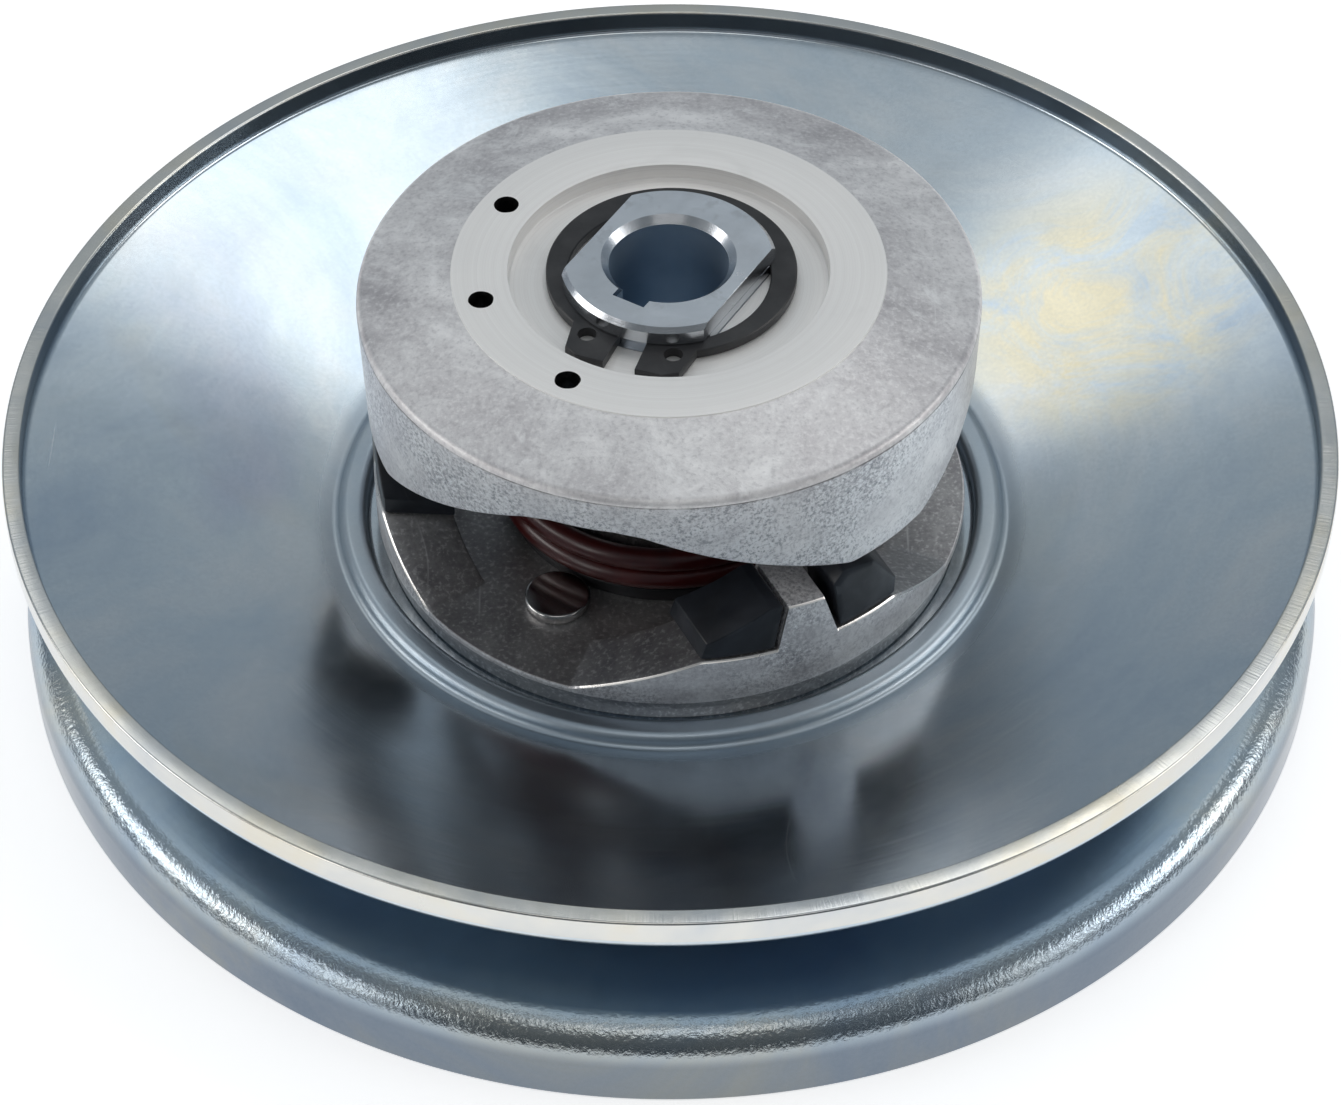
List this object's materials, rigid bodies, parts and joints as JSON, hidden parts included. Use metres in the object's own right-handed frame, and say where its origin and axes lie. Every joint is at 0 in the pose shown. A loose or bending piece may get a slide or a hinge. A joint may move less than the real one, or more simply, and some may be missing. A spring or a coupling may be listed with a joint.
{
  "type": "cvt pulley set",
  "caption": "Driven pulley unit of a belt CVT: fixed and sliding steel sheaves, torque-sensing ramp cams, black ramp inserts and a closing spring on a keyed hub.",
  "frame": {"origin": "centre of the lower rim of the fixed sheave, where the unit stands", "axes": "+Z along the shaft bore, from the fixed sheave towards the fixed cam"},
  "size_m": [0.181, 0.181, 0.0619],
  "materials": {
    "zinc_hub": "bright zinc plate over turned steel",
    "rivet_steel": "zinc plated, domed heads",
    "zinc_sheave_lower": "blue-bright zinc plate on pressed steel sheet",
    "zinc_sheave_upper": "blue-bright zinc plate with faint cloudy tints",
    "cast_aluminium": "as cast, mottled, with a turned ring on top",
    "cast_aluminium_lower": "as cast, slightly darker",
    "black_oxide": "matt black phosphate",
    "rivet_bright": "bright flat heads",
    "sleeve_steel": "turned",
    "bronze": "oil-filled sintered bronze",
    "black_nylon": "moulded",
    "black_plastic": "moulded, slight sheen on the ramp faces",
    "red_spring": "dark red baked enamel"
  },
  "bodies": {
    "hub": {"post": "zinc_hub", "hub_flange": "zinc_hub", "hub_rivets": "rivet_steel", "fixed_sheave": "zinc_sheave_lower", "fixed_cam": "cast_aluminium", "circlip": "black_oxide"},
    "spring": {"spring": "red_spring"},
    "movable": {"movable_sheave": "zinc_sheave_upper", "movable_cam": "cast_aluminium_lower", "cam_rivets": "rivet_bright", "drive_insert_1": "black_plastic", "drive_insert_2": "black_plastic", "drive_insert_3": "black_plastic", "coast_insert_1": "black_plastic", "coast_insert_2": "black_plastic", "coast_insert_3": "black_plastic", "hub_sleeve": "sleeve_steel", "lower_bush": "bronze", "upper_bush": "bronze", "spring_seat": "black_nylon"}
  },
  "joints": [
    {"name": "sheave_slide", "type": "slide", "parent": "hub", "child": "spring", "axis": [0, 0, 1], "range_m": [0, 0.0125], "stiffness_N_per_m": 5000, "springref_m": -0.012, "deforming": ["spring"]},
    {"name": "sheave_turn", "type": "hinge", "parent": "spring", "child": "movable", "pos_m": [0, 0, 0.016], "axis": [0, 0, 1], "range_deg": [-41.5, 0]}
  ],
  "couplings": [
    {"joint": "sheave_turn", "follows": "sheave_slide", "rad_per_m": -57.22}
  ]
}
